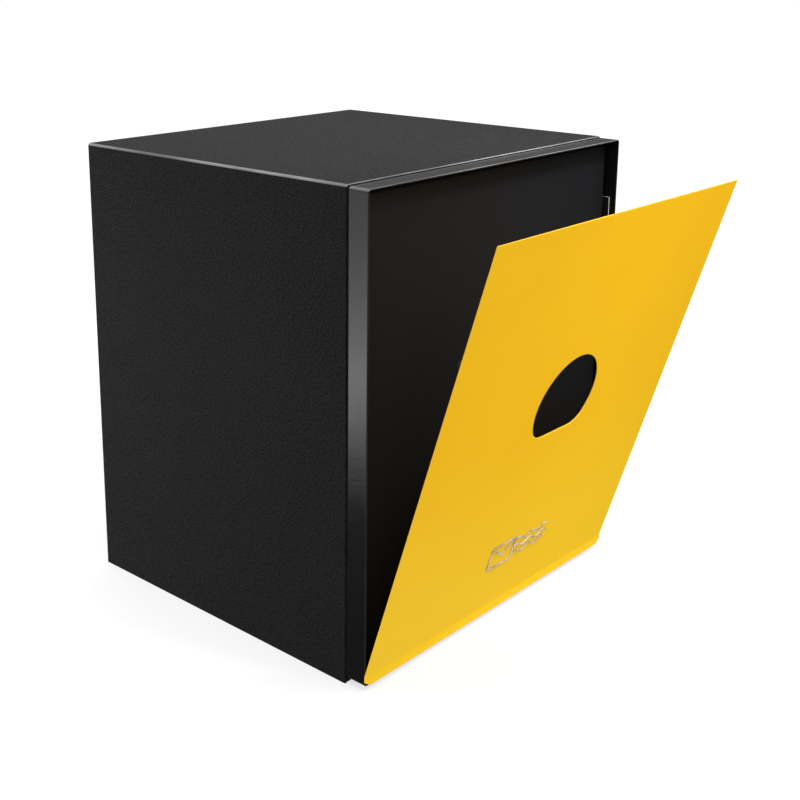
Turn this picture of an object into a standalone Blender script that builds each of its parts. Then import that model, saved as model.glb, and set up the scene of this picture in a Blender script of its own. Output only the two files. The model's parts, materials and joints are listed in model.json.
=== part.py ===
"""Parcel mailbox of folded sheet steel.

A wrapped body carries a front collar with a tilting flap and a top-hung inner panel, and it is emptied
through a lockable door at the rear. Metres, +Z up. The front faces -Y. The origin is the middle of the
body's footprint, on the floor's underside.
"""

import math

import bmesh
import bpy
from mathutils import Vector

# Body
BODY_WIDTH = 0.400
BODY_DEPTH = 0.355
BODY_HEIGHT = 0.466
SHEET = 0.0015
BEND_RADIUS = 0.003
HEM_DEPTH = 0.012
FIT_GAP = 0.0003
FLOOR_FLANGE = 0.0065
ANCHOR_X = 0.140
ANCHOR_Y = 0.115
ANCHOR_HOLE_RADIUS = 0.005

# Front collar
COLLAR_REACH = 0.0232
COLLAR_SHADOW_GAP = 0.001
COLLAR_SHEET = 0.0018
COLLAR_SIDE_INSET = 0.0012
COLLAR_TOP_INSET = 0.0015
COLLAR_BOTTOM_LIFT = 0.0056
COLLAR_LIP_TOP = 0.0135
GASKET_INSET = 0.0004
GASKET_WIDTH = 0.0014

# Joggled plates between collar and body
STRAP_SETBACK = 0.0067
STRAP_REACH = 0.045
STRAP_HEIGHTS = {"upper": (0.290, 0.403), "lower": (0.060, 0.173)}
TOP_STRAP_HALF_WIDTH = 0.060
SILL_HALF_WIDTH = 0.190

# Tilting flap
FLAP_TILT = math.radians(17.2)
FLAP_WIDTH = 0.4012
FLAP_HEIGHT = 0.441
FLAP_SHEET = 0.0012
FLAP_LIP = 0.0097
FLAP_AXIS_SETBACK = 0.0020
FLAP_AXIS_HEIGHT = 0.0168
FLAP_OFFSET = 0.0029
FINGER_HOLE_RADIUS = 0.0485
FINGER_HOLE_FLAT = 0.035
FINGER_HOLE_CORNER = 0.022
FINGER_HOLE_HEIGHT = 0.2426
FLAP_CLIP_WIDTH = 0.0075
FLAP_CLIP_HEIGHT = 0.0050
FLAP_BUFFER_X = 0.1905
FLAP_BUFFER_HEIGHT = 0.330
FLAP_BUFFER_LENGTH = 0.0066
FLAP_BUFFER_RADIUS = 0.0040
EMBLEM_CENTRE = (-0.022, 0.068)
EMBLEM_STROKE = 0.0016
EMBLEM_RAISE = 0.0008

# Flap hinge
HINGE_LENGTH = 0.380
HINGE_KNUCKLES = 13
HINGE_PIN_RADIUS = 0.0010
HINGE_CURL_RADIUS = 0.00165
HINGE_SHEET = 0.0007
HINGE_KNUCKLE_CUT = 0.0028
MOVING_LEAF_HEIGHT = 0.018
STUD_HEIGHT = 0.011
STUD_PLACES = (-0.150, -0.050, 0.050, 0.150)

# Top-hung inner panel
PANEL_HALF_WIDTH = 0.191
PANEL_SETBACK = 0.0122
PANEL_SHEET = 0.0012
PANEL_BOTTOM = 0.010
PANEL_CURL_RADIUS = 0.0034
PANEL_CURL_HALF_WIDTH = 0.184
PANEL_RETURN = 0.012
STIFFENER_HEIGHT = 0.2328
ROD_RADIUS = 0.0025
ROD_HEIGHT = 0.4555
HOOK_INSIDE = 0.1866
HOOK_SHEET = 0.0015
PANEL_BUFFER_X = 0.170
PANEL_BUFFER_RADIUS = 0.0026
PANEL_BUFFER_TOP = 0.0170

# Rear frame and emptying door
REAR_FACE = 0.0185
REAR_STOP_DEPTH = 0.014
REAR_STOP_REACH = 0.027
REAR_LEG = 0.013
SEAL_WIDTH = 0.006
SEAL_THICKNESS = 0.0018
DOOR_GAP = 0.0012
DOOR_RETURN = 0.010
DOOR_LEAF_WIDTH = 0.017
DOOR_LEAF_SHEET = 0.0010
DOOR_CURL_RADIUS = 0.0023
DOOR_PIN_RADIUS = 0.0015
DOOR_HINGE_LENGTH = 0.060
DOOR_HINGE_HEIGHTS = {"upper": 0.360, "lower": 0.104}
RIVET_OFFSET = 0.011
RIVET_SPREAD = 0.018

# Cam lock
LOCK_X = -0.150
LOCK_Z = 0.233
LOCK_SHANK_RADIUS = 0.0077
LOCK_BORE_RADIUS = 0.0053
LOCK_FLANGE_RADIUS = 0.0110
LOCK_SHANK_DEPTH = 0.0140
PLUG_RADIUS = 0.0050
CAM_LENGTH = 0.040
CAM_HALF_WIDTH = 0.008
KEY_BOW_RADIUS = 0.0110

# Places worked out from the sizes above
FRONT = -BODY_DEPTH / 2
REAR = BODY_DEPTH / 2
COLLAR_FRONT = FRONT - COLLAR_REACH
COLLAR_BACK = FRONT - COLLAR_SHADOW_GAP
COLLAR_HALF_WIDTH = BODY_WIDTH / 2 - COLLAR_SIDE_INSET
COLLAR_TOP = BODY_HEIGHT - COLLAR_TOP_INSET
FLAP_AXIS = (0.0, COLLAR_FRONT + FLAP_AXIS_SETBACK, FLAP_AXIS_HEIGHT)
PANEL_FACE = FRONT - COLLAR_REACH + PANEL_SETBACK
PANEL_AXIS = (0.0, PANEL_FACE + PANEL_CURL_RADIUS + PANEL_SHEET / 2, ROD_HEIGHT)
INNER_HALF_WIDTH = BODY_WIDTH / 2 - SHEET - FIT_GAP
INNER_TOP = BODY_HEIGHT - SHEET - FIT_GAP
DOOR_HALF_WIDTH = INNER_HALF_WIDTH - REAR_FACE - DOOR_GAP
DOOR_BOTTOM = REAR_FACE + DOOR_GAP
DOOR_TOP = INNER_TOP - REAR_FACE - DOOR_GAP
DOOR_LEAF_PLANE = FIT_GAP + DOOR_LEAF_SHEET / 2
DOOR_AXIS = (DOOR_HALF_WIDTH + DOOR_GAP / 2, REAR + DOOR_LEAF_PLANE + DOOR_CURL_RADIUS, 0.0)
LOCK_AXIS = (LOCK_X, REAR, LOCK_Z)


def along_x(u, v, w):
    """Outline in the YZ plane, built up along X."""
    return (w, u, v)


def along_y(u, v, w):
    """Outline in the XZ plane, built up along Y."""
    return (u, w, v)


def along_z(u, v, w):
    """Outline in the XY plane, built up along Z."""
    return (u, v, w)


def clear_scene():
    for item in list(bpy.data.objects):
        bpy.data.objects.remove(item, do_unlink=True)


def make_material(name, colour, roughness, metallic=0.0):
    made = bpy.data.materials.new(name)
    made.use_nodes = True
    shader = made.node_tree.nodes["Principled BSDF"]
    shader.inputs["Base Color"].default_value = (*colour, 1.0)
    shader.inputs["Roughness"].default_value = roughness
    shader.inputs["Metallic"].default_value = metallic
    return made


FINISHES = {
    "body_black": ((0.018, 0.018, 0.019), 0.55, 0.0),
    "collar_black": ((0.020, 0.020, 0.021), 0.35, 0.0),
    "flap_yellow": ((0.86, 0.47, 0.005), 0.40, 0.0),
    "zinc": ((0.60, 0.61, 0.62), 0.35, 1.0),
    "polished_steel": ((0.66, 0.66, 0.65), 0.20, 1.0),
    "brass": ((0.72, 0.54, 0.25), 0.30, 1.0),
    "black_rubber": ((0.012, 0.012, 0.012), 0.75, 0.0),
}


def place(name, mesh, finish, parent=None):
    """Turns a bmesh into a named object with a material of its own."""
    data = bpy.data.meshes.new(name)
    mesh.to_mesh(data)
    mesh.free()
    data.shade_smooth()
    data.set_sharp_from_angle(angle=math.radians(35))
    made = bpy.data.objects.new(name, data)
    bpy.context.scene.collection.objects.link(made)
    colour, roughness, metallic = FINISHES[finish]
    data.materials.append(make_material(name, colour, roughness, metallic))
    made.parent = parent
    return made


def make_axis(name, location, tilt=0.0):
    """An empty on a joint's axis, for the moving pieces to be parented to."""
    made = bpy.data.objects.new(name, None)
    bpy.context.scene.collection.objects.link(made)
    made.location = location
    made.rotation_euler.x = tilt
    return made


def combine(target, tool, operation):
    """Cuts the tool out of the target, or joins it on."""
    tool.hide_render = True
    tool.display_type = "WIRE"
    change = target.modifiers.new(operation.lower(), "BOOLEAN")
    change.operation = operation
    change.solver = "EXACT"
    change.object = tool


def skin(loops, closed=False):
    """Mesh over a row of loops, capped at both ends unless the row closes on itself."""
    mesh = bmesh.new()
    rows = [[mesh.verts.new(point) for point in loop] for loop in loops]
    pairs = list(zip(rows, rows[1:]))
    if closed:
        pairs.append((rows[-1], rows[0]))
    for near, far in pairs:
        for i in range(len(near)):
            j = (i + 1) % len(near)
            mesh.faces.new((near[i], near[j], far[j], far[i]))
    if not closed:
        mesh.faces.new(rows[0][::-1])
        mesh.faces.new(rows[-1])
    bmesh.ops.remove_doubles(mesh, verts=mesh.verts, dist=1e-6)
    bmesh.ops.recalc_face_normals(mesh, faces=mesh.faces)
    return mesh


def extrude(outline, low, high, place_point):
    """A closed outline built up from low to high."""
    return skin([[place_point(u, v, w) for u, v in outline] for w in (low, high)])


def box(low, high):
    (x0, y0, z0), (x1, y1, z1) = low, high
    return extrude([(x0, y0), (x1, y0), (x1, y1), (x0, y1)], z0, z1, along_z)


def arc(centre, radius, start, end, steps=6):
    """Points on an arc, both ends included; angles in degrees."""
    angles = [math.radians(start + (end - start) * i / steps) for i in range(steps + 1)]
    return [(centre[0] + radius * math.cos(a), centre[1] + radius * math.sin(a)) for a in angles]


def circle(radius, steps=24, sides=0, centre=(0.0, 0.0)):
    """Points round a circle, or round a polygon whose flats are the radius away."""
    points = []
    for i in range(steps):
        angle = 2 * math.pi * i / steps
        reach = radius
        if sides:
            half = math.pi / sides
            reach = radius / math.cos((angle % (2 * half)) - half)
        points.append((centre[0] + reach * math.cos(angle), centre[1] + reach * math.sin(angle)))
    return points


def turned(profile, centre, place_point, closed=False, steps=24):
    """A turned piece from (radius, height) or (radius, height, sides) rows."""
    loops = []
    for row in profile:
        sides = row[2] if len(row) > 2 else 0
        loops.append([place_point(u, v, row[1]) for u, v in circle(row[0], steps, sides, centre)])
    return skin(loops, closed)


def strip(path, thickness):
    """Closed outline of a bent sheet of the given thickness along a centre line."""
    points = [Vector(point) for point in path]
    left = []
    right = []
    for i, here in enumerate(points):
        leaving = (points[i + 1] - here).normalized() if i < len(points) - 1 else None
        arriving = (here - points[i - 1]).normalized() if i else leaving
        tangent = (arriving + (leaving or arriving)).normalized()
        normal = Vector((-tangent.y, tangent.x))
        reach = thickness / 2 / normal.dot(Vector((-arriving.y, arriving.x)))
        left.append(here + normal * reach)
        right.append(here - normal * reach)
    return [tuple(point) for point in left + right[::-1]]


def rounded_rectangle(half_width, low, high, radius, inset, steps=5):
    """Loop set in from a rectangle with rounded corners, which turn sharp past the corner radius."""
    points = []
    for side_u, side_v, start in ((1, -1, -90), (1, 1, 0), (-1, 1, 90), (-1, -1, 180)):
        centre_u = side_u * (half_width - radius)
        centre_v = high - radius if side_v > 0 else low + radius
        if inset < radius:
            points += arc((centre_u, centre_v), radius - inset, start, start + 90, steps)
        else:
            past = inset - radius
            points += [(centre_u - side_u * past, centre_v - side_v * past)] * (steps + 1)
    return points


def framed(half_width, low, high, radius, chain, place_point, closed):
    """A rectangular ring or tray: chain holds (inset, height) rows."""
    loops = []
    for inset, height in chain:
        outline = rounded_rectangle(half_width, low, high, radius, inset)
        loops.append([place_point(u, v, height) for u, v in outline])
    return skin(loops, closed)


# Body ---------------------------------------------------------------------------------------------


def wrap_outline(outer_inset, inner_inset):
    """Section of the body's wrap, an upturned U open at the bottom."""
    outer = wrap_side(outer_inset)
    inner = wrap_side(inner_inset)
    return outer + inner[::-1]


def wrap_side(inset):
    half = BODY_WIDTH / 2 - inset
    top = BODY_HEIGHT - inset
    radius = max(BEND_RADIUS - inset, 0.0004)
    left = arc((-half + radius, top - radius), radius, 180, 90)
    right = arc((half - radius, top - radius), radius, 90, 0)
    return [(-half, 0.0)] + left + right + [(half, 0.0)]


def make_body_shell():
    """Left side, top and right side folded from one sheet, with a hem round the front edge."""
    sections = []
    for angle in (15, 35, 60, 90):
        swing = math.radians(angle)
        bulge = SHEET * math.sin(swing)
        sections.append((FRONT + SHEET * (1 - math.cos(swing)), SHEET - bulge, SHEET + bulge))
    sections.append((FRONT + HEM_DEPTH, 0.0, 2 * SHEET))
    sections.append((FRONT + HEM_DEPTH + SHEET / 2, 0.0, SHEET))
    sections.append((REAR - SHEET / 4, 0.0, SHEET))
    sections.append((REAR, SHEET / 4, SHEET * 3 / 4))
    loops = [[(u, y, v) for u, v in wrap_outline(outer, inner)] for y, outer, inner in sections]
    place("body_shell", skin(loops), "body_black")


def make_floor():
    """Shallow tray between the sides, notched for the hems, with four holes to anchor the box."""
    front_edge = FRONT + FIT_GAP
    rear_edge = REAR - REAR_STOP_DEPTH - FIT_GAP
    edge = 0.0006
    chain = ((edge, 0.0), (0.0, edge), (0.0, FLOOR_FLANGE), (SHEET, FLOOR_FLANGE), (SHEET, SHEET))
    mesh = framed(INNER_HALF_WIDTH, front_edge, rear_edge, BEND_RADIUS, chain, along_z, False)
    floor = place("floor_panel", mesh, "body_black")
    past = 0.001
    inside = BODY_WIDTH / 2 - 2 * SHEET - 2 * FIT_GAP
    hem_end = FRONT + HEM_DEPTH + SHEET / 2 + FIT_GAP
    for side, sign in (("left", -1), ("right", 1)):
        near, far = sorted((sign * inside, sign * BODY_WIDTH / 2))
        notch = box((near, FRONT - past, -past), (far, hem_end, FLOOR_FLANGE + past))
        combine(floor, place(f"hem_notch_{side}", notch, "body_black"), "DIFFERENCE")
    number = 0
    for x in (-ANCHOR_X, ANCHOR_X):
        for y in (-ANCHOR_Y, ANCHOR_Y):
            number += 1
            radius = ANCHOR_HOLE_RADIUS
            hole = turned([(radius, -past), (radius, SHEET + past)], (x, y), along_z)
            combine(floor, place(f"anchor_hole_{number}", hole, "body_black"), "DIFFERENCE")
            make_anchor_plug(number, x, y)


def make_anchor_plug(number, x, y):
    """Push-in rubber plug: a stem in the hole and a broad head on the floor."""
    stem = ANCHOR_HOLE_RADIUS - FIT_GAP
    head = 0.0080
    seat = SHEET + FIT_GAP
    profile = [
        (stem - 0.0003, 0.0003),
        (stem, 0.0008),
        (stem, seat),
        (head, seat),
        (head, seat + 0.0012),
        (head - 0.0012, seat + 0.0020),
    ]
    place(f"anchor_plug_{number}", turned(profile, (x, y), along_z), "black_rubber")


def make_rear_frame():
    """Folded frame round the emptying door: outer leg, face, jamb and the stop that the seal lies on."""
    jamb = REAR_FACE - SHEET
    chain = (
        (0.0, REAR),
        (REAR_FACE, REAR),
        (REAR_FACE, REAR - REAR_STOP_DEPTH + SHEET),
        (REAR_STOP_REACH, REAR - REAR_STOP_DEPTH + SHEET),
        (REAR_STOP_REACH, REAR - REAR_STOP_DEPTH),
        (jamb, REAR - REAR_STOP_DEPTH),
        (jamb, REAR - SHEET),
        (SHEET, REAR - SHEET),
        (SHEET, REAR - REAR_LEG),
        (0.0, REAR - REAR_LEG),
    )
    mesh = framed(INNER_HALF_WIDTH, 0.0, INNER_TOP, BEND_RADIUS, chain, along_y, True)
    place("rear_frame", mesh, "body_black")
    low = REAR - REAR_STOP_DEPTH + SHEET + FIT_GAP
    high = low + SEAL_THICKNESS
    chain = ((0.0, low), (0.0, high), (SEAL_WIDTH, high), (SEAL_WIDTH, low))
    inset = REAR_FACE + DOOR_GAP
    mesh = framed(INNER_HALF_WIDTH - inset, inset, INNER_TOP - inset, BEND_RADIUS, chain, along_y, True)
    place("door_seal", mesh, "black_rubber")


# Front collar -------------------------------------------------------------------------------------


def make_front_collar():
    """Sleeve that stands off the body by a shadow gap, with a low lip across its bottom edge."""
    edge = COLLAR_SHEET / 3
    chain = (
        (edge, COLLAR_FRONT),
        (0.0, COLLAR_FRONT + edge),
        (0.0, COLLAR_BACK - edge),
        (edge, COLLAR_BACK),
        (COLLAR_SHEET, COLLAR_BACK),
        (COLLAR_SHEET, COLLAR_FRONT + edge / 2),
        (COLLAR_SHEET - edge / 2, COLLAR_FRONT),
    )
    mesh = framed(COLLAR_HALF_WIDTH, COLLAR_BOTTOM_LIFT, COLLAR_TOP, BEND_RADIUS, chain, along_y, True)
    collar = place("front_frame", mesh, "collar_black")
    half = COLLAR_HALF_WIDTH - COLLAR_SHEET / 2
    low = (-half, COLLAR_FRONT, COLLAR_BOTTOM_LIFT + COLLAR_SHEET / 2)
    lip = box(low, (half, COLLAR_FRONT + COLLAR_SHEET, COLLAR_LIP_TOP))
    combine(collar, place("frame_lip_shape", lip, "collar_black"), "UNION")


def make_frame_gasket():
    """Rubber ring in the shadow gap, set in from the collar's outside."""
    low = COLLAR_BACK + FIT_GAP
    high = FRONT - FIT_GAP
    chain = ((0.0, low), (0.0, high), (GASKET_WIDTH, high), (GASKET_WIDTH, low))
    half = COLLAR_HALF_WIDTH - GASKET_INSET
    bottom = COLLAR_BOTTOM_LIFT + GASKET_INSET
    mesh = framed(half, bottom, COLLAR_TOP - GASKET_INSET, BEND_RADIUS, chain, along_y, True)
    place("frame_gasket", mesh, "black_rubber")


def joggle(inner, outer):
    """Centre line of a plate that lies inside the collar in front and inside the body behind."""
    return [
        (inner, COLLAR_FRONT + STRAP_SETBACK),
        (inner, FRONT + 0.016),
        (outer, FRONT + 0.020),
        (outer, FRONT + STRAP_REACH),
    ]


def make_straps():
    """Plates, spot-welded inside the collar and inside the body, that hold the two together."""
    inner = COLLAR_HALF_WIDTH - COLLAR_SHEET - FIT_GAP - SHEET / 2
    outer = INNER_HALF_WIDTH - SHEET / 2
    for side, sign in (("left", -1), ("right", 1)):
        for level, (low, high) in STRAP_HEIGHTS.items():
            outline = strip(joggle(sign * inner, sign * outer), SHEET)
            place(f"frame_strap_{side}_{level}", extrude(outline, low, high, along_z), "collar_black")
    under_collar = COLLAR_TOP - COLLAR_SHEET - FIT_GAP - SHEET / 2
    under_roof = INNER_TOP - SHEET / 2
    outline = strip([(v, u) for u, v in joggle(under_collar, under_roof)], SHEET)
    mesh = extrude(outline, -TOP_STRAP_HALF_WIDTH, TOP_STRAP_HALF_WIDTH, along_x)
    place("frame_strap_top", mesh, "collar_black")
    on_collar = COLLAR_BOTTOM_LIFT + COLLAR_SHEET + FIT_GAP + SHEET / 2
    on_floor = SHEET + FIT_GAP + SHEET / 2
    path = [
        (FRONT - 0.011, on_collar),
        (FRONT + 0.018, on_collar),
        (FRONT + 0.024, on_floor),
        (FRONT + STRAP_REACH, on_floor),
    ]
    mesh = extrude(strip(path, SHEET), -SILL_HALF_WIDTH, SILL_HALF_WIDTH, along_x)
    place("sill_plate", mesh, "collar_black")


# Inner panel --------------------------------------------------------------------------------------


def make_panel_hanger():
    """Rod that the inner panel hangs on, and the two hooks that hold it under the collar's top."""
    axis = PANEL_AXIS[1:]
    end = HOOK_INSIDE + HOOK_SHEET + 0.0009
    place("panel_rod", turned([(ROD_RADIUS, -end), (ROD_RADIUS, end)], axis, along_x), "zinc")
    top = COLLAR_TOP - COLLAR_SHEET - FIT_GAP
    front = axis[0] - 0.0022
    back = axis[0] + 0.0050
    for side, sign in (("left", -1), ("right", 1)):
        seat = arc(axis, ROD_RADIUS + FIT_GAP, 0, 128, 8)
        web = [(front, top), (back, top), (back, axis[1])] + seat + [(front, seat[-1][1])]
        near, far = sorted((sign * HOOK_INSIDE, sign * (HOOK_INSIDE + HOOK_SHEET)))
        hook = place(f"panel_rod_bracket_{side}", extrude(web, near, far, along_x), "collar_black")
        near, far = sorted((sign * (HOOK_INSIDE + HOOK_SHEET / 2), sign * (HOOK_INSIDE + 0.0084)))
        tab = box((near, front, top - 0.0012), (far, back, top))
        combine(hook, place(f"bracket_tab_{side}", tab, "collar_black"), "UNION")


def make_inner_panel(axis):
    """Flat sheet rolled round the rod at the top and returned at the bottom; it swings inwards."""
    front = -PANEL_CURL_RADIUS
    bottom = PANEL_BOTTOM - ROD_HEIGHT + PANEL_SHEET / 2
    bend = 0.001
    path = [(front + PANEL_RETURN, bottom), (front + bend, bottom), (front, bottom + bend)]
    path += arc((0.0, 0.0), PANEL_CURL_RADIUS, 180, -100, 18)
    mesh = extrude(strip(path, PANEL_SHEET), -PANEL_HALF_WIDTH, PANEL_HALF_WIDTH, along_x)
    panel = place("swing_panel", mesh, "collar_black", axis)
    for side, sign in (("left", -1), ("right", 1)):
        near, far = sorted((sign * PANEL_CURL_HALF_WIDTH, sign * (PANEL_HALF_WIDTH + bend)))
        notch = box((near, front + PANEL_SHEET / 2 + 0.0001, -0.006), (far, 0.010, 0.010))
        combine(panel, place(f"panel_notch_{side}", notch, "collar_black", axis), "DIFFERENCE")
    back = front + PANEL_SHEET + FIT_GAP
    middle = STIFFENER_HEIGHT - ROD_HEIGHT
    half = [(back, 0.036), (back, 0.018), (back + 0.016, 0.012)]
    path = [(y, middle + z) for y, z in half] + [(y, middle - z) for y, z in half[::-1]]
    mesh = extrude(strip(path, PANEL_SHEET), -0.170, 0.170, along_x)
    place("panel_stiffener", mesh, "collar_black", axis)


def make_panel_buffers():
    """Rubber posts on the collar's floor that the hanging panel rests against."""
    radius = PANEL_BUFFER_RADIUS
    base = COLLAR_BOTTOM_LIFT + COLLAR_SHEET + FIT_GAP
    y = PANEL_FACE - 0.0005 - radius
    profile = [(radius, base), (radius, PANEL_BUFFER_TOP - 0.0008), (radius - 0.0006, PANEL_BUFFER_TOP)]
    for side, x in (("left", -PANEL_BUFFER_X), ("right", PANEL_BUFFER_X)):
        place(f"panel_buffer_{side}", turned(profile, (x, y), along_z, steps=16), "black_rubber")


# Flap ---------------------------------------------------------------------------------------------


def finger_hole_outline():
    """Circle with its bottom cut flat and the two corners rounded, round the hole's own centre."""
    corner_height = -FINGER_HOLE_FLAT + FINGER_HOLE_CORNER
    reach = FINGER_HOLE_RADIUS - FINGER_HOLE_CORNER
    corner_x = math.sqrt(reach**2 - corner_height**2)
    meet = math.degrees(math.atan2(corner_height, corner_x))
    points = arc((0.0, 0.0), FINGER_HOLE_RADIUS, meet, 180 - meet, 40)
    points += arc((-corner_x, corner_height), FINGER_HOLE_CORNER, 180 - meet, 270, 6)
    points += arc((corner_x, corner_height), FINGER_HOLE_CORNER, -90, meet, 6)
    return points[:-1]


def make_flap_panel(axis):
    """Flat sheet whose lowest strip is bent, to lie against the collar's lip when the flap is open."""
    bend = FLAP_OFFSET * math.tan(FLAP_TILT / 2)
    lip = Vector((-math.sin(FLAP_TILT), -math.cos(FLAP_TILT)))
    corner = Vector((-FLAP_OFFSET, bend))
    soften = 0.0012
    end = corner + lip * (FLAP_LIP + bend)
    path = [end, corner + lip * soften, corner + Vector((0.0, soften)), (-FLAP_OFFSET, FLAP_HEIGHT)]
    half = FLAP_WIDTH / 2
    flap = place("flap_panel", extrude(strip(path, FLAP_SHEET), -half, half, along_x), "flap_yellow", axis)
    outline = [(x, z + FINGER_HOLE_HEIGHT) for x, z in finger_hole_outline()]
    cutter = extrude(outline, -FLAP_OFFSET - 0.004, -FLAP_OFFSET + 0.004, along_y)
    combine(flap, place("finger_hole_shape", cutter, "flap_yellow", axis), "DIFFERENCE")
    for side, sign in (("left", -1), ("right", 1)):
        low = end.y - FLAP_CLIP_HEIGHT
        outline = [
            (sign * (half - 2 * FLAP_CLIP_WIDTH), low),
            (sign * (half + FLAP_CLIP_WIDTH), low),
            (sign * (half + FLAP_CLIP_WIDTH), low + 3 * FLAP_CLIP_HEIGHT),
        ]
        clip = extrude(outline, end.x - 0.003, end.x + 0.006, along_y)
        combine(flap, place(f"lip_clip_{side}", clip, "flap_yellow", axis), "DIFFERENCE")
    rounding = flap.modifiers.new("edges", "BEVEL")
    rounding.width = 0.0003
    rounding.segments = 1
    rounding.limit_method = "ANGLE"
    rounding.angle_limit = math.radians(50)


def make_flap_hinge(axis):
    """Continuous hinge: one leaf behind the collar's lip, one behind the flap, and the pin between."""
    half = HINGE_LENGTH / 2
    radius = HINGE_CURL_RADIUS
    centre = (0.0, 0.0)
    leaf = HINGE_SHEET / 2
    path = [(leaf, -0.0090), (leaf, -0.0031)] + arc(centre, radius, -50, 240, 12)
    fixed = place("flap_hinge_fixed_leaf", extrude(strip(path, HINGE_SHEET), -half, half, along_x), "zinc")
    fixed.location = FLAP_AXIS
    path = [(-radius, MOVING_LEAF_HEIGHT)] + arc(centre, radius, 180, 450, 12)
    mesh = extrude(strip(path, HINGE_SHEET), -half, half, along_x)
    moving = place("flap_hinge_moving_leaf", mesh, "zinc", axis)
    cut_knuckles(fixed, moving, axis)
    pin = turned([(HINGE_PIN_RADIUS, -half), (HINGE_PIN_RADIUS, half)], centre, along_x)
    place("flap_hinge_pin", pin, "zinc").location = FLAP_AXIS
    front = -radius - leaf
    base = leaf - radius + FIT_GAP
    profile = [
        (0.0016, front),
        (0.0016, base),
        (0.0032, base, 6),
        (0.0032, base + 0.0022, 6),
        (0.0014, base + 0.0034),
    ]
    for number, x in enumerate(STUD_PLACES, start=1):
        centre = (x, STUD_HEIGHT)
        hole = turned([(0.0020, front - 0.002), (0.0020, base + 0.002)], centre, along_y)
        combine(moving, place(f"stud_hole_{number}", hole, "zinc", axis), "DIFFERENCE")
        place(f"flap_stud_nut_{number}", turned(profile, centre, along_y), "zinc", axis)


def cut_knuckles(fixed, moving, axis):
    """Takes alternate knuckles off each leaf, so that the two interlock on the pin."""
    pitch = HINGE_LENGTH / HINGE_KNUCKLES
    cut = HINGE_KNUCKLE_CUT
    past = 0.002
    for knuckle in range(HINGE_KNUCKLES):
        low = -HINGE_LENGTH / 2 + knuckle * pitch
        high = low + pitch
        low -= past if knuckle == 0 else FIT_GAP / 2
        high += past if knuckle == HINGE_KNUCKLES - 1 else FIT_GAP / 2
        cutter = place(f"knuckle_cut_{knuckle}", box((low, -cut, -cut), (high, cut, cut)), "zinc")
        if knuckle % 2 == 0:
            cutter.parent = axis
            combine(moving, cutter, "DIFFERENCE")
        else:
            cutter.location = FLAP_AXIS
            combine(fixed, cutter, "DIFFERENCE")


def make_flap_emblem(axis):
    """Raised metal emblem: a plain envelope with three postmark waves."""
    back = -FLAP_OFFSET - FLAP_SHEET / 2 - FIT_GAP
    front = back - EMBLEM_RAISE
    half_width = 0.020
    half_height = 0.014
    inner = half_width - EMBLEM_STROKE / 2
    chain = ((0.0, back), (0.0, front), (EMBLEM_STROKE, front), (EMBLEM_STROKE, back))

    def placed(u, v, w):
        return (u + EMBLEM_CENTRE[0], w, v + EMBLEM_CENTRE[1])

    frame = framed(half_width, -half_height, half_height, 0.0022, chain, placed, True)
    emblem = place("flap_emblem", frame, "polished_steel", axis)
    fold_top = half_height - EMBLEM_STROKE
    strokes = [[(-inner, fold_top), (0.0, -0.001), (inner, fold_top)]]
    for row in (-0.0085, 0.0, 0.0085):
        strokes.append(wave(inner, row, 0.058, 0.0022))
    sink = 0.00005
    for number, path in enumerate(strokes):
        tool = extrude(strip(path, EMBLEM_STROKE), front + sink, back - sink, placed)
        combine(emblem, place(f"emblem_stroke_{number}", tool, "polished_steel", axis), "UNION")


def wave(start, height, length, swing, halves=5, steps=32):
    """Points along a sine wave of so many half turns."""
    points = []
    for i in range(steps + 1):
        along = i / steps
        points.append((start + along * length, height + swing * math.sin(along * halves * math.pi)))
    return points


def make_flap_buffers(axis):
    """Rubber posts behind the flap that land on the upper straps' front edges when it closes."""
    back = -FLAP_OFFSET + FLAP_SHEET / 2
    radius = FLAP_BUFFER_RADIUS
    end = back + FLAP_BUFFER_LENGTH
    profile = [(radius + 0.001, back + FIT_GAP), (radius + 0.001, back + 0.0018), (radius, back + 0.0024)]
    profile += [(radius, end - 0.0006), (radius - 0.0008, end)]
    for side, x in (("left", -FLAP_BUFFER_X), ("right", FLAP_BUFFER_X)):
        post = turned(profile, (x, FLAP_BUFFER_HEIGHT), along_y, steps=20)
        place(f"flap_buffer_{side}", post, "black_rubber", axis)


# Emptying door ------------------------------------------------------------------------------------


def make_rear_door():
    axis = make_axis("door_axis", DOOR_AXIS)
    dx, dy, _ = DOOR_AXIS
    edge = 0.0008
    chain = (
        (edge, REAR - dy),
        (0.0, REAR - dy - edge),
        (0.0, REAR - dy - DOOR_RETURN),
        (SHEET, REAR - dy - DOOR_RETURN),
        (SHEET, REAR - dy - SHEET),
    )

    def placed(u, v, w):
        return (u - dx, w, v)

    mesh = framed(DOOR_HALF_WIDTH, DOOR_BOTTOM, DOOR_TOP, BEND_RADIUS, chain, placed, False)
    door = place("rear_door", mesh, "body_black", axis)
    centre = (LOCK_X - dx, LOCK_Z)
    radius = LOCK_SHANK_RADIUS + FIT_GAP
    hole = turned([(radius, REAR - dy - 0.004), (radius, REAR - dy + 0.002)], centre, along_y)
    combine(door, place("lock_hole", hole, "body_black", axis), "DIFFERENCE")
    make_door_hinges(axis)
    make_lock(axis)


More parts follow.
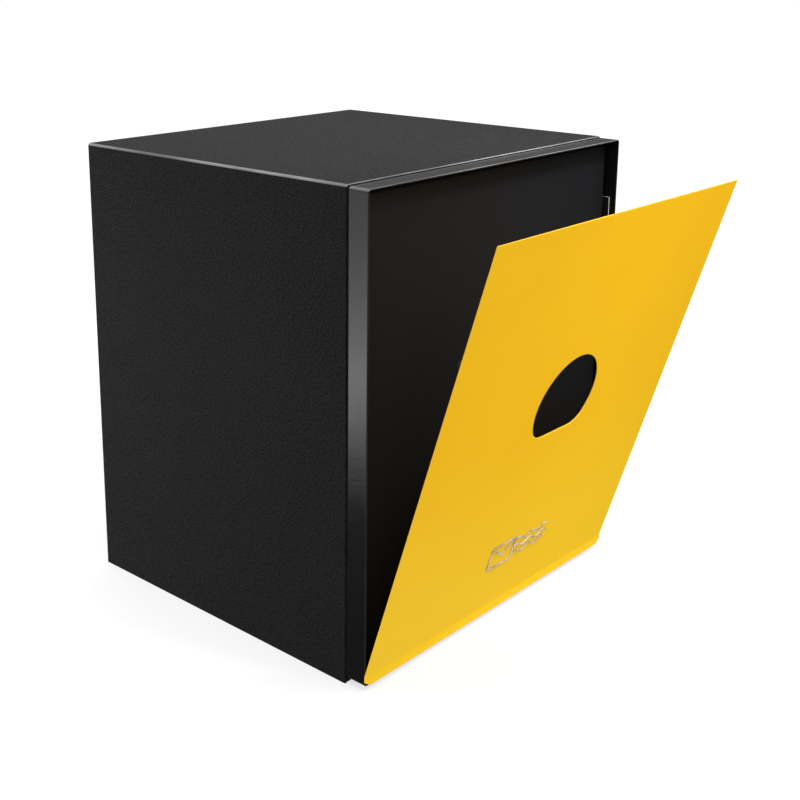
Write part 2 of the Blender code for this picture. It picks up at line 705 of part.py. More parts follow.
def make_door_hinges(axis):
    """Two three-knuckle butt hinges on the outside, each leaf held by two rivets."""
    dx, dy, _ = DOOR_AXIS
    radius = DOOR_CURL_RADIUS
    third = DOOR_HINGE_LENGTH / 3
    cut = radius + 0.001
    for level, height in DOOR_HINGE_HEIGHTS.items():
        low = height - DOOR_HINGE_LENGTH / 2
        high = height + DOOR_HINGE_LENGTH / 2
        path = [(DOOR_LEAF_WIDTH, -radius)] + arc((0.0, 0.0), radius, -90, -350, 14)
        mesh = extrude(strip(path, DOOR_LEAF_SHEET), low, high, along_z)
        fixed = place(f"door_hinge_fixed_leaf_{level}", mesh, "zinc")
        fixed.location = DOOR_AXIS
        path = [(-DOOR_LEAF_WIDTH, -radius)] + arc((0.0, 0.0), radius, -90, 170, 14)
        mesh = extrude(strip(path, DOOR_LEAF_SHEET), low, high, along_z)
        moving = place(f"door_hinge_moving_leaf_{level}", mesh, "zinc", axis)
        middle = box((-cut, -cut, low + third - FIT_GAP), (cut, cut, high - third + FIT_GAP))
        cutter = place(f"middle_knuckle_cut_{level}", middle, "zinc")
        cutter.location = DOOR_AXIS
        combine(fixed, cutter, "DIFFERENCE")
        for end, start in (("low", low - 0.001), ("high", high - third)):
            cutter = box((-cut, -cut, start), (cut, cut, start + third + 0.001))
            combine(moving, place(f"end_knuckle_cut_{level}_{end}", cutter, "zinc", axis), "DIFFERENCE")
        pin = turned([(DOOR_PIN_RADIUS, low), (DOOR_PIN_RADIUS, high)], (0.0, 0.0), along_z)
        place(f"door_hinge_pin_{level}", pin, "zinc").location = DOOR_AXIS
        make_rivets(level, height, REAR - dy + 2 * FIT_GAP + DOOR_LEAF_SHEET, axis)


def make_rivets(level, height, surface, axis):
    """Round heads on both leaves of one hinge."""
    profile = [
        (0.0034, surface),
        (0.0034, surface + 0.0005),
        (0.0024, surface + 0.0014),
        (0.0008, surface + 0.0017),
    ]
    for number, offset in enumerate((-RIVET_SPREAD, RIVET_SPREAD), start=1):
        head = turned(profile, (RIVET_OFFSET, height + offset), along_y, steps=16)
        place(f"frame_rivet_{level}_{number}", head, "zinc").location = DOOR_AXIS
        head = turned(profile, (-RIVET_OFFSET, height + offset), along_y, steps=16)
        place(f"door_rivet_{level}_{number}", head, "zinc", axis)


def make_lock(door_axis):
    """Cam lock through the door, with its key; the cam hangs down when unlocked."""
    dx, dy, _ = DOOR_AXIS
    centre = (LOCK_X - dx, LOCK_Z)
    face = REAR - dy
    bore = LOCK_BORE_RADIUS
    flange = LOCK_FLANGE_RADIUS
    profile = [
        (bore, face + 0.0025),
        (flange - 0.0006, face + 0.0025),
        (flange, face + 0.0019),
        (flange, face + FIT_GAP),
        (LOCK_SHANK_RADIUS, face + FIT_GAP),
        (LOCK_SHANK_RADIUS, face - LOCK_SHANK_DEPTH),
        (bore, face - LOCK_SHANK_DEPTH),
    ]
    place("lock_body", turned(profile, centre, along_y, closed=True), "polished_steel", door_axis)
    back = face - SHEET - FIT_GAP
    inner = LOCK_SHANK_RADIUS + FIT_GAP
    profile = [(inner, back), (flange, back, 6), (flange, back - 0.0035, 6), (inner, back - 0.0035)]
    place("lock_nut", turned(profile, centre, along_y, closed=True), "zinc", door_axis)

    make_turning_parts(make_axis("lock_axis", LOCK_AXIS))


def make_turning_parts(turning):
    """Plug, cam, the screw that holds it, and the key."""
    centre = (0.0, 0.0)
    plug_end = -LOCK_SHANK_DEPTH - 0.0004
    tail = 0.0030
    profile = [
        (PLUG_RADIUS - 0.0004, 0.0024),
        (PLUG_RADIUS, 0.0020),
        (PLUG_RADIUS, plug_end),
        (tail, plug_end),
        (tail, plug_end - 0.0028),
    ]
    plug = place("lock_plug", turned(profile, centre, along_y), "brass", turning)
    slot = box((-0.0013, -0.0085, -0.0038), (0.0013, 0.0040, 0.0038))
    combine(plug, place("key_slot", slot, "brass", turning), "DIFFERENCE")
    half = CAM_HALF_WIDTH
    outline = arc(centre, half, 0, 180, 8) + arc((0.0, half - CAM_LENGTH), half, 180, 360, 8)
    mesh = extrude(outline, plug_end - 0.0024, plug_end - 0.0004, along_y)
    cam = place("lock_cam", mesh, "zinc", turning)
    hole = turned([(tail + FIT_GAP, -0.020), (tail + FIT_GAP, -0.010)], centre, along_y)
    combine(cam, place("cam_hole", hole, "zinc", turning), "DIFFERENCE")
    profile = [(0.0040, -0.0212), (0.0050, -0.0204), (0.0050, -0.0175)]
    place("cam_screw", turned(profile, centre, along_y), "zinc", turning)
    radius = KEY_BOW_RADIUS
    hole = 0.0035
    profile = [(hole, -0.001), (radius, -0.001), (radius, 0.001), (hole, 0.001)]
    bow = turned(profile, (radius + 0.0065, 0.0), along_x, closed=True)
    key = place("key", bow, "polished_steel", turning)
    blade = place("key_blade", box((-0.0009, -0.0080, -0.0034), (0.0009, 0.0085, 0.0034)), "zinc", turning)
    combine(key, blade, "UNION")


def main():
    clear_scene()
    make_body_shell()
    make_floor()
    make_rear_frame()
    make_front_collar()
    make_frame_gasket()
    make_straps()
    make_panel_hanger()
    make_panel_buffers()
    make_inner_panel(make_axis("panel_axis", PANEL_AXIS))
    flap_axis = make_axis("flap_axis", FLAP_AXIS, FLAP_TILT)
    make_flap_panel(flap_axis)
    make_flap_hinge(flap_axis)
    make_flap_emblem(flap_axis)
    make_flap_buffers(flap_axis)
    make_rear_door()


main()
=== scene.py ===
"""Visual model of the parcel mailbox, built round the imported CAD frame.

Every CAD node keeps its place and shape. Modifiers round its sharp edges, and each
finish of the real box is one procedural material.
"""

import json
import math

import bpy
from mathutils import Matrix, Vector

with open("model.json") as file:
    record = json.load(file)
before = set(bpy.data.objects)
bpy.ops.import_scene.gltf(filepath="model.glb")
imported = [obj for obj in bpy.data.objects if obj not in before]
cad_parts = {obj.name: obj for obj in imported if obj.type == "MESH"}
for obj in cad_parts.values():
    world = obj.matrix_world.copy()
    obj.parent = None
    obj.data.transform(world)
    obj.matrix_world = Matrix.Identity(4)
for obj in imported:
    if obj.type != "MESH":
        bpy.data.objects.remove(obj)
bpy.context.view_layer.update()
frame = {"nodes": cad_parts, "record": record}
nodes = frame["nodes"]

# --- Driving values, in metres and degrees ---------------------------------------------

EDGE_ROUNDING = {"sheet": 0.00028, "small": 0.00022, "rubber": 0.00045, "thin": 0.00005}
ROUNDING_STEPS = 2
SAME_POINT_WITHIN = 1e-6
FLAT_WITHIN = math.radians(0.8)
SHARP_ABOVE = math.radians(28)
FLAT_FACE_WEIGHT = 60

CAMERA_AZIMUTH = math.radians(-47.157)
CAMERA_ELEVATION = math.radians(14.211)
CAMERA_PLACE = Vector((-0.9606, -0.8664, 0.6474))
CAMERA_LENS = 56.37
CAMERA_SHIFT = (0.085, -0.155)
SENSOR_WIDTH = 36.0
CLIP_NEAR, CLIP_FAR = 0.01, 50.0

FLOOR_RADIUS = 9.0
FLOOR_SIDES = 96
FLOOR_GLOW = 0.68
FLOOR_GREY = (0.36, 0.36, 0.36)
FLOOR_DARKER, FLOOR_PALER = (0.35, 0.35, 0.35), (0.37, 0.37, 0.37)

# Brightness of the light tent: sine of the elevation, then brightness. Below the horizon
# it is seen only in reflections, because the floor hides it from everything else.
TENT_BRIGHTEST = 6.0
TENT_ABOVE = ((0.00, 0.11), (0.18, 0.17), (0.32, 0.65), (0.50, 1.05), (0.75, 1.20), (1.00, 1.20))
TENT_BELOW = ((-1.00, 0.45), (-0.60, 0.45), (-0.25, 0.55))
TENT_BELOW_FLAP_SIDE = ((-1.00, 0.45), (-0.74, 0.40), (-0.62, 0.03), (-0.30, 0.03))
TENT_BELOW_STRIP_SIDE = (
    (-1.00, 0.0),
    (-0.384, 0.0),
    (-0.362, 4.2),
    (-0.335, 5.9),
    (-0.30, 4.8),
    (-0.26, 2.5),
    (-0.20, 1.8),
    (-0.08, 1.0),
)

# The two sides with levels of their own, and how near to each they begin and are full.
FLAP_SIDE = (0.90, -0.44, 0.0)
FLAP_SIDE_NEAR = (0.0, 0.3)
STRIP_SIDE = (-0.745, 0.667, 0.0)
STRIP_SIDE_NEAR = (0.50, 0.80)

# Lamps: place, what each is aimed at, and its power in watts.
TOP_SOFTBOX = {"place": (-0.3, 0.2, 2.1), "aim": (0.0, 0.0, 0.25), "watts": 8.0}
TOP_SOFTBOX_SIDE = 1.6
FRONT_SOFTBOX = {"place": (0.3, -1.25, 1.75), "aim": (0.0, -0.19, 0.42), "watts": 9.0}
FRONT_SOFTBOX_SIDE = 0.9
FRONT_FILL = {"place": (0.2, -1.0, 1.9), "aim": (0.08, -0.19, 0.45), "watts": 190.0}
FRONT_FILL_CONE = math.radians(17)
FRONT_FILL_RADIUS = 0.2

# The direction that the open flap's outer face looks in.
FLAP_TILT = math.radians(17.2)
FLAP_FACES = (0.0, -math.cos(FLAP_TILT), -math.sin(FLAP_TILT))


# --- Shader graphs ----------------------------------------------------------------------


class Finish:
    """One material: a Principled shader and short ways to add what feeds it."""

    def __init__(self, name, colour, roughness, metallic=0.0, specular=0.5):
        self.material = bpy.data.materials.new(name)
        self.material.use_nodes = True
        self.tree = self.material.node_tree
        self.shader = self.tree.nodes["Principled BSDF"]
        self.shader.inputs["Base Color"].default_value = (*colour, 1.0)
        self.shader.inputs["Roughness"].default_value = roughness
        self.shader.inputs["Metallic"].default_value = metallic
        self.shader.inputs["Specular IOR Level"].default_value = specular
        self.material.diffuse_color = (*colour, 1.0)
        own = self.add("ShaderNodeTexCoord").outputs
        self.place, self.own_normal = own["Object"], own["Normal"]

    def add(self, kind, **settings):
        node = self.tree.nodes.new(kind)
        for key, value in settings.items():
            setattr(node, key, value)
        return node

    def feed(self, socket, value):
        """A link from another node, or a plain value."""
        if isinstance(value, bpy.types.NodeSocket):
            self.tree.links.new(value, socket)
        else:
            socket.default_value = value

    def stretched(self, scale, turn=(0.0, 0.0, 0.0)):
        """The object's own coordinates, scaled differently along each axis."""
        node = self.add("ShaderNodeMapping")
        self.feed(node.inputs["Vector"], self.place)
        self.feed(node.inputs["Scale"], scale)
        self.feed(node.inputs["Rotation"], turn)
        return node.outputs["Vector"]

    def noise(self, scale, detail=2.0, roughness=0.5, vector=None):
        """Noise from 0 to 1 with features of about 1 / scale metres."""
        node = self.add("ShaderNodeTexNoise")
        self.feed(node.inputs["Vector"], vector or self.place)
        self.feed(node.inputs["Scale"], scale)
        self.feed(node.inputs["Detail"], detail)
        self.feed(node.inputs["Roughness"], roughness)
        return node.outputs["Fac"]

    def spots(self, scale, vector=None):
        """Distance to the nearest of scattered points, in units of their spacing."""
        node = self.add("ShaderNodeTexVoronoi")
        self.feed(node.inputs["Vector"], vector or self.place)
        self.feed(node.inputs["Scale"], scale)
        return node.outputs["Distance"]

    def spread(self, value, low, high, to_low, to_high, smooth=False):
        """value's range from low to high, brought to to_low to to_high and clamped."""
        node = self.add("ShaderNodeMapRange")
        node.interpolation_type = "SMOOTHSTEP" if smooth else "LINEAR"
        for key, given in zip(
            ("Value", "From Min", "From Max", "To Min", "To Max"),
            (value, low, high, to_low, to_high),
        ):
            self.feed(node.inputs[key], given)
        return node.outputs["Result"]

    def maths(self, operation, a, b):
        node = self.add("ShaderNodeMath", operation=operation)
        self.feed(node.inputs[0], a)
        self.feed(node.inputs[1], b)
        return node.outputs[0]

    def blend(self, share, first, second):
        """A colour between two others."""
        node = self.add("ShaderNodeMix", data_type="RGBA")
        self.feed(node.inputs[0], share)
        for socket, colour in ((node.inputs[6], first), (node.inputs[7], second)):
            self.feed(socket, colour if isinstance(colour, bpy.types.NodeSocket) else (*colour, 1.0))
        return node.outputs[2]

    def upper_bends(self):
        """1 on bends and edges that turn from the top to a side, from the object's normal; the mask of the
        painted bend highlight.
        """
        split = self.add("ShaderNodeSeparateXYZ")
        self.feed(split.inputs[0], self.own_normal)
        rising = self.spread(split.outputs["Z"], 0.12, 0.34, 0.0, 1.0)
        falling = self.spread(split.outputs["Z"], 0.90, 0.97, 1.0, 0.0)
        return self.maths("MULTIPLY", rising, falling)

    def rounded_normal(self, radius):
        node = self.add("ShaderNodeBevel", samples=6)
        self.feed(node.inputs["Radius"], radius)
        return node.outputs["Normal"]

    def edges(self, radius, reach=0.12):
        """1 along sharp edges and 0 on open faces, found from the rounded normal."""
        facing = self.add("ShaderNodeNewGeometry").outputs["Normal"]
        node = self.add("ShaderNodeVectorMath", operation="DOT_PRODUCT")
        self.feed(node.inputs[0], self.rounded_normal(radius))
        self.feed(node.inputs[1], facing)
        return self.spread(node.outputs["Value"], 1.0 - reach, 1.0, 1.0, 0.0)

    def relief(self, height, depth, strength=1.0, under=None):
        """Bump of the given depth in metres, on top of another normal."""
        node = self.add("ShaderNodeBump")
        self.feed(node.inputs["Height"], height)
        self.feed(node.inputs["Distance"], depth)
        self.feed(node.inputs["Strength"], strength)
        if under is not None:
            self.feed(node.inputs["Normal"], under)
        return node.outputs["Normal"]

    def set(self, **sockets):
        for key, value in sockets.items():
            self.feed(self.shader.inputs[key.replace("_", " ")], value)


def powder_coat():
    """Black powder coat with a fine sandy texture, paler on edges, and a painted highlight along the upper
    bends.
    """
    f = Finish("black powder coat", (0.0082, 0.0082, 0.0084), 0.6, specular=0.12)
    grain = f.noise(540.0, 3.0, 0.8)
    sand = f.noise(1500.0, 2.0, 0.6)
    cloud = f.noise(9.0, 3.0)
    tone = f.spread(grain, 0.43, 0.57, 0.0, 1.0)
    colour = f.blend(tone, (0.0, 0.0, 0.0), (0.0115, 0.0115, 0.0117))
    dust = f.maths("MULTIPLY", f.spread(cloud, 0.45, 0.75, 0.0, 0.10), f.spread(sand, 0.45, 0.65, 0.0, 1.0))
    colour = f.blend(dust, colour, (0.050, 0.049, 0.047))
    rubbed = f.maths("MULTIPLY", f.edges(0.0009), f.spread(grain, 0.38, 0.62, 0.25, 0.8))
    colour = f.blend(rubbed, colour, (0.045, 0.045, 0.046))
    # Painted highlight: the bends that turn from the top to a side are paled in broken patches, as if they
    # caught the light from above.
    painted_bend_highlight = f.maths("MULTIPLY", f.upper_bends(), f.spread(cloud, 0.35, 0.60, 0.5, 1.0))
    colour = f.blend(painted_bend_highlight, colour, (0.27, 0.27, 0.27))
    rough = f.spread(grain, 0.3, 0.7, 0.66, 0.50)
    normal = f.relief(grain, 0.0004, 0.9, f.rounded_normal(0.0008))
    normal = f.relief(sand, 0.00012, 0.8, normal)
    f.set(Base_Color=colour, Roughness=rough, Normal=normal)
    return f.material


def satin_coat():
    """Black satin coat with a faint orange peel and rub marks, and a painted highlight along the upper bends.
    """
    f = Finish("black satin coat", (0.0090, 0.0090, 0.0093), 0.2, specular=0.28)
    peel = f.noise(420.0, 2.0, 0.5)
    fine = f.noise(1800.0, 2.0, 0.6)
    smear = f.noise(14.0, 4.0, 0.6)
    rubs = f.noise(60.0, 3.0, 0.7, f.stretched((1.0, 1.0, 14.0), (0.3, 0.2, 0.1)))
    tone = f.spread(fine, 0.3, 0.7, 0.0, 1.0)
    colour = f.blend(tone, (0.0070, 0.0070, 0.0072), (0.0110, 0.0110, 0.0113))
    rubbed = f.maths("MULTIPLY", f.edges(0.0007), f.spread(smear, 0.35, 0.6, 0.3, 0.9))
    colour = f.blend(rubbed, colour, (0.055, 0.055, 0.057))
    # Painted highlight: the bends that turn from the top to a side are paled in patches, as if they caught
    # the light from above.
    painted_bend_highlight = f.maths("MULTIPLY", f.upper_bends(), f.spread(smear, 0.35, 0.65, 0.3, 1.0))
    colour = f.blend(painted_bend_highlight, colour, (0.16, 0.16, 0.16))
    rough = f.spread(smear, 0.3, 0.7, 0.12, 0.17)
    rough = f.maths("ADD", rough, f.spread(rubs, 0.55, 0.75, 0.0, 0.07))
    normal = f.relief(peel, 0.00006, 0.5, f.rounded_normal(0.0007))
    normal = f.relief(fine, 0.00002, 0.5, normal)
    f.set(Base_Color=colour, Roughness=rough, Normal=normal)
    return f.material


def inner_coat():
    """The thinner, duller black coat of the inner panel."""
    f = Finish("black inner coat", (0.0080, 0.0092, 0.0118), 0.5, specular=0.12)
    grain = f.noise(520.0, 3.0, 0.65)
    cloud = f.noise(11.0, 4.0, 0.6)
    tone = f.spread(grain, 0.32, 0.70, 0.0, 1.0)
    colour = f.blend(tone, (0.0070, 0.0078, 0.0095), (0.0132, 0.0144, 0.0170))
    rubbed = f.maths("MULTIPLY", f.edges(0.0007), f.spread(grain, 0.35, 0.6, 0.2, 0.7))
    colour = f.blend(rubbed, colour, (0.040, 0.040, 0.041))
    rough = f.spread(cloud, 0.3, 0.7, 0.42, 0.52)
    normal = f.relief(grain, 0.0002, 0.7, f.rounded_normal(0.0007))
    f.set(Base_Color=colour, Roughness=rough, Normal=normal)
    return f.material


def strap_coat(thin_axis):
    """Satin coat on a strap's faces, with bright steel where its edges were sheared."""
    f = Finish(f"coated strap, thin along {thin_axis}", (0.012, 0.012, 0.0124), 0.3, specular=0.4)
    split = f.add("ShaderNodeSeparateXYZ")
    f.feed(split.inputs[0], f.own_normal)
    across = f.maths("ABSOLUTE", split.outputs[thin_axis], 0.0)
    sheared = f.spread(across, 0.30, 0.55, 1.0, 0.0)
    peel = f.noise(420.0, 2.0, 0.5)
    burr = f.noise(900.0, 3.0, 0.7, f.stretched((1.0, 1.0, 0.15)))
    coat = f.blend(f.spread(peel, 0.3, 0.7, 0.0, 1.0), (0.0095, 0.0095, 0.0098), (0.0150, 0.0150, 0.0154))
    steel = f.blend(f.spread(burr, 0.35, 0.65, 0.0, 1.0), (0.95, 0.95, 0.95), (0.70, 0.70, 0.70))
    f.set(
        Base_Color=f.blend(sheared, coat, steel),
        Roughness=f.spread(burr, 0.3, 0.7, 0.26, 0.36),
        Metallic=f.maths("MULTIPLY", sheared, 0.15),
        Normal=f.relief(peel, 0.00005, 0.5, f.rounded_normal(0.0004)),
    )
    return f.material


def yellow_coat():
    """Yellow satin coat with orange peel: a pale rim on the edges, partly edge wear and partly painted
    highlight, a painted soft highlight that pales it towards the bottom, and darker inside.
    """
    f = Finish("yellow coat", (0.86, 0.46, 0.002), 0.34, specular=0.07)
    peel = f.noise(380.0, 2.0, 0.5)
    fine = f.noise(1600.0, 2.0, 0.6)
    cloud = f.noise(5.0, 3.0)
    tone = f.spread(cloud, 0.3, 0.7, 0.0, 1.0)
    colour = f.blend(tone, (0.835, 0.455, 0.0003), (0.865, 0.485, 0.0008))
    split = f.add("ShaderNodeSeparateXYZ")
    f.feed(split.inputs[0], f.place)
    # Painted highlight: the lower part of the flap is paled, as a soft highlight there.
    painted_foot_highlight = f.spread(split.outputs["Z"], 0.02, 0.26, 0.75, 0.0, smooth=True)
    colour = f.blend(painted_foot_highlight, colour, (0.875, 0.570, 0.012))
    speck = f.spread(fine, 0.62, 0.72, 0.0, 0.35)
    colour = f.blend(speck, colour, (0.89, 0.53, 0.003))
    inside = f.add("ShaderNodeVectorMath", operation="DOT_PRODUCT")
    f.feed(inside.inputs[0], f.own_normal)
    f.feed(inside.inputs[1], FLAP_FACES)
    thin = f.spread(inside.outputs["Value"], -0.75, -0.55, 1.0, 0.0)
    colour = f.blend(thin, colour, (0.68, 0.36, 0.0008))
    # The pale rim on the sheet edges is partly edge wear and partly a painted highlight.
    colour = f.blend(f.maths("MULTIPLY", f.edges(0.0006), 0.9), colour, (0.95, 0.74, 0.30))
    rough = f.spread(fine, 0.3, 0.7, 0.32, 0.40)
    normal = f.relief(peel, 0.00005, 0.5, f.rounded_normal(0.0005))
    normal = f.relief(fine, 0.000015, 0.5, normal)
    f.set(Base_Color=colour, Roughness=rough, Normal=normal)
    return f.material


def rubber():
    """Matt black rubber with a moulded skin and a trace of grey bloom."""
    f = Finish("black rubber", (0.011, 0.011, 0.011), 0.8, specular=0.3)
    skin = f.noise(900.0, 3.0, 0.6)
    bloom = f.noise(70.0, 3.0)
    colour = f.blend(f.spread(bloom, 0.4, 0.7, 0.0, 1.0), (0.0085, 0.0085, 0.0085), (0.019, 0.019, 0.0185))
    colour = f.blend(f.maths("MULTIPLY", f.edges(0.0008), 0.5), colour, (0.035, 0.035, 0.034))
    rough = f.spread(skin, 0.3, 0.7, 0.72, 0.88)
    f.set(Base_Color=colour, Roughness=rough, Normal=f.relief(skin, 0.0001, 0.6, f.rounded_normal(0.0006)))
    return f.material


def polished():
    """Polished chrome with soft handling marks."""
    f = Finish("polished chrome", (0.70, 0.70, 0.69), 0.12, metallic=1.0)
    touch = f.noise(160.0, 4.0, 0.6)
    lines = f.noise(900.0, 2.0, 0.6, f.stretched((1.0, 12.0, 12.0), (0.0, 0.4, 0.0)))
    colour = f.blend(f.spread(touch, 0.35, 0.7, 0.0, 1.0), (0.74, 0.74, 0.73), (0.60, 0.60, 0.60))
    rough = f.spread(touch, 0.3, 0.75, 0.08, 0.24)
    rough = f.maths("ADD", rough, f.spread(lines, 0.55, 0.75, 0.0, 0.08))
    f.set(Base_Color=colour, Roughness=rough, Normal=f.relief(lines, 0.000004, 0.5, f.rounded_normal(0.0003)))
    return f.material


def badge_metal():
    """Bright metal of the badge's thin strokes, with random light and dark patches of painted reflection."""
    f = Finish("badge metal", (0.66, 0.63, 0.59), 0.28, metallic=0.45)
    painted_reflection_patch = f.noise(95.0, 2.0, 0.6)
    fine = f.noise(700.0, 2.0, 0.6)
    # Painted reflection: random light and dark patches stand for the strokes' uneven reflections.
    colour = f.blend(f.spread(painted_reflection_patch, 0.42, 0.58, 0.0, 1.0), (0.95, 0.92, 0.84), (0.47, 0.39, 0.36))
    colour = f.blend(f.spread(fine, 0.45, 0.62, 0.0, 0.5), colour, (0.80, 0.76, 0.74))
    rough = f.spread(fine, 0.3, 0.7, 0.2, 0.4)
    f.set(Base_Color=colour, Roughness=rough, Normal=f.relief(fine, 0.00001, 0.4, f.rounded_normal(0.0004)))
    return f.material


def brass():
    """Satin brass of the lock's plug, turned and slightly tarnished."""
    f = Finish("lock brass", (0.72, 0.52, 0.23), 0.3, metallic=1.0)
    tarnish = f.noise(420.0, 4.0, 0.6)
    turned = f.spots(900.0)
    colour = f.blend(f.spread(tarnish, 0.4, 0.7, 0.0, 1.0), (0.78, 0.58, 0.27), (0.48, 0.33, 0.14))
    rough = f.spread(tarnish, 0.3, 0.7, 0.22, 0.42)
    f.set(Base_Color=colour, Roughness=rough, Normal=f.relief(turned, 0.00001, 0.4, f.rounded_normal(0.0003)))
    return f.material


def zinc():
    """Bright zinc plating over drawn steel: fine lines, duller clouds, brighter edges."""
    f = Finish("zinc-plated steel", (0.58, 0.59, 0.60), 0.34, metallic=1.0)
    cloud = f.noise(140.0, 4.0, 0.6)
    lines = f.noise(700.0, 3.0, 0.7, f.stretched((0.08, 1.0, 1.0)))
    colour = f.blend(f.spread(cloud, 0.35, 0.68, 0.0, 1.0), (0.63, 0.64, 0.65), (0.50, 0.51, 0.49))
    colour = f.blend(f.maths("MULTIPLY", f.edges(0.0005), 0.6), colour, (0.72, 0.73, 0.74))
    rough = f.spread(cloud, 0.3, 0.7, 0.27, 0.44)
    rough = f.maths("ADD", rough, f.spread(lines, 0.4, 0.7, 0.0, 0.08))
    f.set(Base_Color=colour, Roughness=rough, Normal=f.relief(lines, 0.000012, 0.6, f.rounded_normal(0.0004)))
    return f.material


FINISHES = {
    "body_powder_coat": (powder_coat(), "sheet"),
    "frame_satin_coat": (satin_coat(), "sheet"),
    "flap_yellow_coat": (yellow_coat(), "sheet"),
    "black_rubber": (rubber(), "rubber"),
    "polished_metal": (polished(), "small"),
    "lock_brass": (brass(), "small"),
    "zinc_plated_steel": (zinc(), "small"),
}

INNER_COAT, SIDE_STRAP, TOP_STRAP = inner_coat(), strap_coat("X"), strap_coat("Z")
OWN_FINISHES = {
    "swing_panel": INNER_COAT,
    "panel_stiffener": INNER_COAT,
    "flap_emblem": badge_metal(),
    "frame_strap_top": TOP_STRAP,
    "frame_strap_left_lower": SIDE_STRAP,
    "frame_strap_left_upper": SIDE_STRAP,
    "frame_strap_right_lower": SIDE_STRAP,
    "frame_strap_right_upper": SIDE_STRAP,
}
# The gasket is 0.4 mm thick, so the wider rounding of the other rubber pieces would eat it away.
OWN_ROUNDING = {"frame_gasket": "thin"}


# --- The CAD nodes' finish --------------------------------------------------------------


def smoothing_group():
    """Joins the triangles' shared corners and shades the faces smooth."""
    group = bpy.data.node_groups.new("joined and smooth", "GeometryNodeTree")
    group.interface.new_socket("Geometry", in_out="INPUT", socket_type="NodeSocketGeometry")
    group.interface.new_socket("Geometry", in_out="OUTPUT", socket_type="NodeSocketGeometry")
    chain = [
        group.nodes.new(kind)
        for kind in (
            "NodeGroupInput",
            "GeometryNodeMergeByDistance",
            "GeometryNodeSetShadeSmooth",
            "NodeGroupOutput",
        )
    ]
    chain[1].inputs["Distance"].default_value = SAME_POINT_WITHIN
    for before, after in zip(chain, chain[1:]):
        group.links.new(before.outputs[0], after.inputs[0])
    return group


SMOOTHING = smoothing_group()


def round_edges(obj, width):
    """Narrow rounded edges on a CAD solid, with shading that keeps its flats flat."""
    joined = obj.modifiers.new("joined", "NODES")
    joined.node_group = SMOOTHING
    flats = obj.modifiers.new("flats", "DECIMATE")
    flats.decimate_type = "DISSOLVE"
    flats.angle_limit = FLAT_WITHIN
    rounding = obj.modifiers.new("rounding", "BEVEL")
    rounding.width = width
    rounding.segments = ROUNDING_STEPS
    rounding.limit_method = "ANGLE"
    rounding.angle_limit = SHARP_ABOVE
    rounding.use_clamp_overlap = True
    shading = obj.modifiers.new("shading", "WEIGHTED_NORMAL")
    shading.weight = FLAT_FACE_WEIGHT


def dress_nodes():
    for part in frame["record"]["subparts"]:
        obj = nodes[part["node"]]
        material, rounding = FINISHES[part["material_slot"]]
        material = OWN_FINISHES.get(part["node"], material)
        rounding = OWN_ROUNDING.get(part["node"], rounding)
        for slot in obj.material_slots:
            slot.link = "OBJECT"
            slot.material = material
        round_edges(obj, EDGE_ROUNDING[rounding])


# --- Studio -----------------------------------------------------------------------------


def make_floor():
    """A large pale floor, lit from below a little, as a light table is."""
    mesh = bpy.data.meshes.new("studio_floor")
    turns = [2 * math.pi * i / FLOOR_SIDES for i in range(FLOOR_SIDES)]
    ring = [(FLOOR_RADIUS * math.cos(t), FLOOR_RADIUS * math.sin(t), 0.0) for t in turns]
    mesh.from_pydata(ring, [], [range(FLOOR_SIDES)])
    floor = bpy.data.objects.new("studio_floor", mesh)
    bpy.context.scene.collection.objects.link(floor)
    f = Finish("pale floor", FLOOR_GREY, 0.9, specular=0.0)
    f.set(Base_Color=f.blend(f.noise(3.0), FLOOR_DARKER, FLOOR_PALER))
    f.shader.inputs["Emission Color"].default_value = (1.0, 1.0, 1.0, 1.0)
    f.shader.inputs["Emission Strength"].default_value = FLOOR_GLOW
    mesh.materials.append(f.material)
    floor.visible_glossy = False


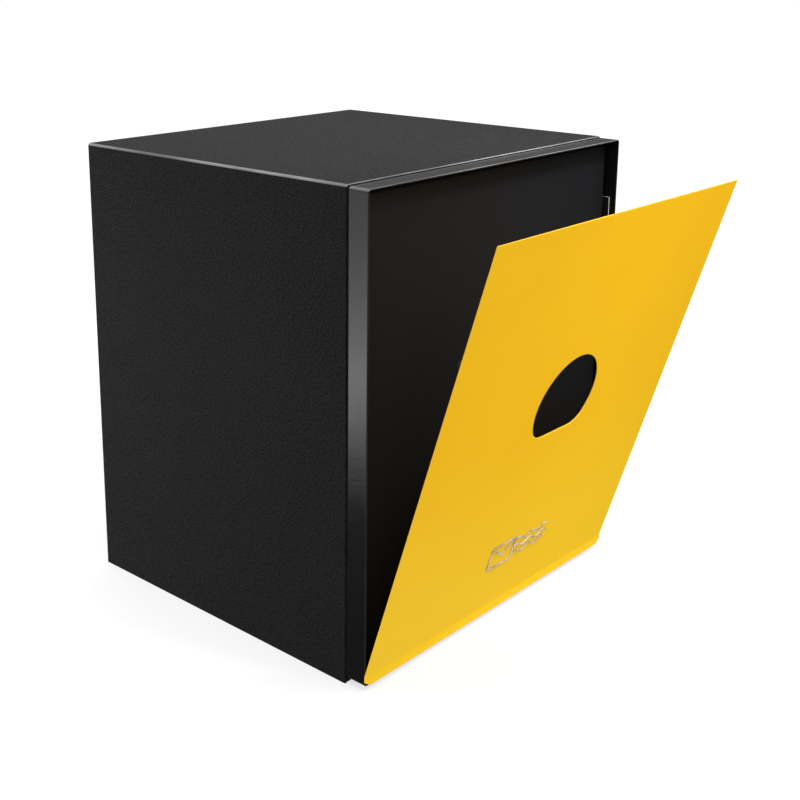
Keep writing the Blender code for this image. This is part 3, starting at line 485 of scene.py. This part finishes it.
def make_tent():
    """The world as a light tent: bright overhead and dim round the sides, with a dark flap side
    and a bright band on the strip side. The camera sees plain white in its place."""
    world = bpy.data.worlds.new("light tent")
    bpy.context.scene.world = world
    world.use_nodes = True
    tree = world.node_tree
    tree.nodes.clear()
    add, link = tree.nodes.new, tree.links.new
    direction = add("ShaderNodeTexCoord").outputs["Generated"]
    split = add("ShaderNodeSeparateXYZ")
    link(direction, split.inputs[0])
    height = add("ShaderNodeMapRange")
    height.inputs["From Min"].default_value = -1.0
    link(split.outputs["Z"], height.inputs["Value"])

    def levels(table):
        node = add("ShaderNodeValToRGB")
        while len(node.color_ramp.elements) < len(table):
            node.color_ramp.elements.new(0.5)
        for element, (sine, bright) in zip(node.color_ramp.elements, table):
            element.position = (sine + 1.0) / 2.0
            element.color = (*[bright / TENT_BRIGHTEST] * 3, 1.0)
        link(height.outputs["Result"], node.inputs["Fac"])
        return node.outputs["Color"]

    def towards(side, nearness, elsewhere, here):
        """One brightness near that side and another elsewhere."""
        along = add("ShaderNodeVectorMath")
        along.operation = "DOT_PRODUCT"
        along.inputs[1].default_value = side
        link(direction, along.inputs[0])
        near = add("ShaderNodeMapRange")
        near.interpolation_type = "SMOOTHSTEP"
        near.inputs["From Min"].default_value, near.inputs["From Max"].default_value = nearness
        link(along.outputs["Value"], near.inputs["Value"])
        mixed = add("ShaderNodeMix")
        mixed.data_type = "RGBA"
        link(near.outputs["Result"], mixed.inputs[0])
        link(elsewhere, mixed.inputs[6])
        link(here, mixed.inputs[7])
        return mixed.outputs[2]

    round_about = levels(TENT_BELOW + TENT_ABOVE)
    round_about = towards(FLAP_SIDE, FLAP_SIDE_NEAR, round_about, levels(TENT_BELOW_FLAP_SIDE + TENT_ABOVE))
    strip = levels(TENT_BELOW_STRIP_SIDE + TENT_ABOVE)
    brightness = towards(STRIP_SIDE, STRIP_SIDE_NEAR, round_about, strip)
    lit = add("ShaderNodeBackground")
    link(brightness, lit.inputs["Color"])
    lit.inputs["Strength"].default_value = TENT_BRIGHTEST
    backdrop = add("ShaderNodeBackground")
    backdrop.inputs["Color"].default_value = (1.0, 1.0, 1.0, 1.0)
    either = add("ShaderNodeMixShader")
    link(add("ShaderNodeLightPath").outputs["Is Camera Ray"], either.inputs[0])
    link(lit.outputs[0], either.inputs[1])
    link(backdrop.outputs[0], either.inputs[2])
    link(either.outputs[0], add("ShaderNodeOutputWorld").inputs["Surface"])


def hang_lamp(name, data, place, aim, watts):
    data.energy = watts
    lamp = bpy.data.objects.new(name, data)
    bpy.context.scene.collection.objects.link(lamp)
    lamp.location = place
    lamp.rotation_euler = (Vector(aim) - Vector(place)).to_track_quat("-Z", "Y").to_euler()
    lamp.visible_camera = False


def make_softbox(name, side, **hung):
    data = bpy.data.lights.new(name, "AREA")
    data.shape = "RECTANGLE"
    data.size = data.size_y = side
    hang_lamp(name, data, **hung)


def make_spot(name, cone, radius, **hung):
    data = bpy.data.lights.new(name, "SPOT")
    data.spot_size = cone
    data.spot_blend = 1.0
    data.shadow_soft_size = radius
    hang_lamp(name, data, **hung)


def make_camera():
    data = bpy.data.cameras.new("camera")
    data.lens = CAMERA_LENS
    data.sensor_width = SENSOR_WIDTH
    data.shift_x, data.shift_y = CAMERA_SHIFT
    data.clip_start, data.clip_end = CLIP_NEAR, CLIP_FAR
    camera = bpy.data.objects.new("camera", data)
    bpy.context.scene.collection.objects.link(camera)
    level = math.cos(CAMERA_ELEVATION)
    back = Vector(
        (
            math.sin(CAMERA_AZIMUTH) * level,
            -math.cos(CAMERA_AZIMUTH) * level,
            math.sin(CAMERA_ELEVATION),
        )
    )
    camera.location = CAMERA_PLACE
    camera.rotation_euler = (-back).to_track_quat("-Z", "Y").to_euler()
    bpy.context.scene.camera = camera


dress_nodes()
make_floor()
make_tent()
make_softbox("top softbox", TOP_SOFTBOX_SIDE, **TOP_SOFTBOX)
make_softbox("front softbox", FRONT_SOFTBOX_SIDE, **FRONT_SOFTBOX)
make_spot("front fill", FRONT_FILL_CONE, FRONT_FILL_RADIUS, **FRONT_FILL)
make_camera()
bpy.context.scene.view_settings.view_transform = "Standard"
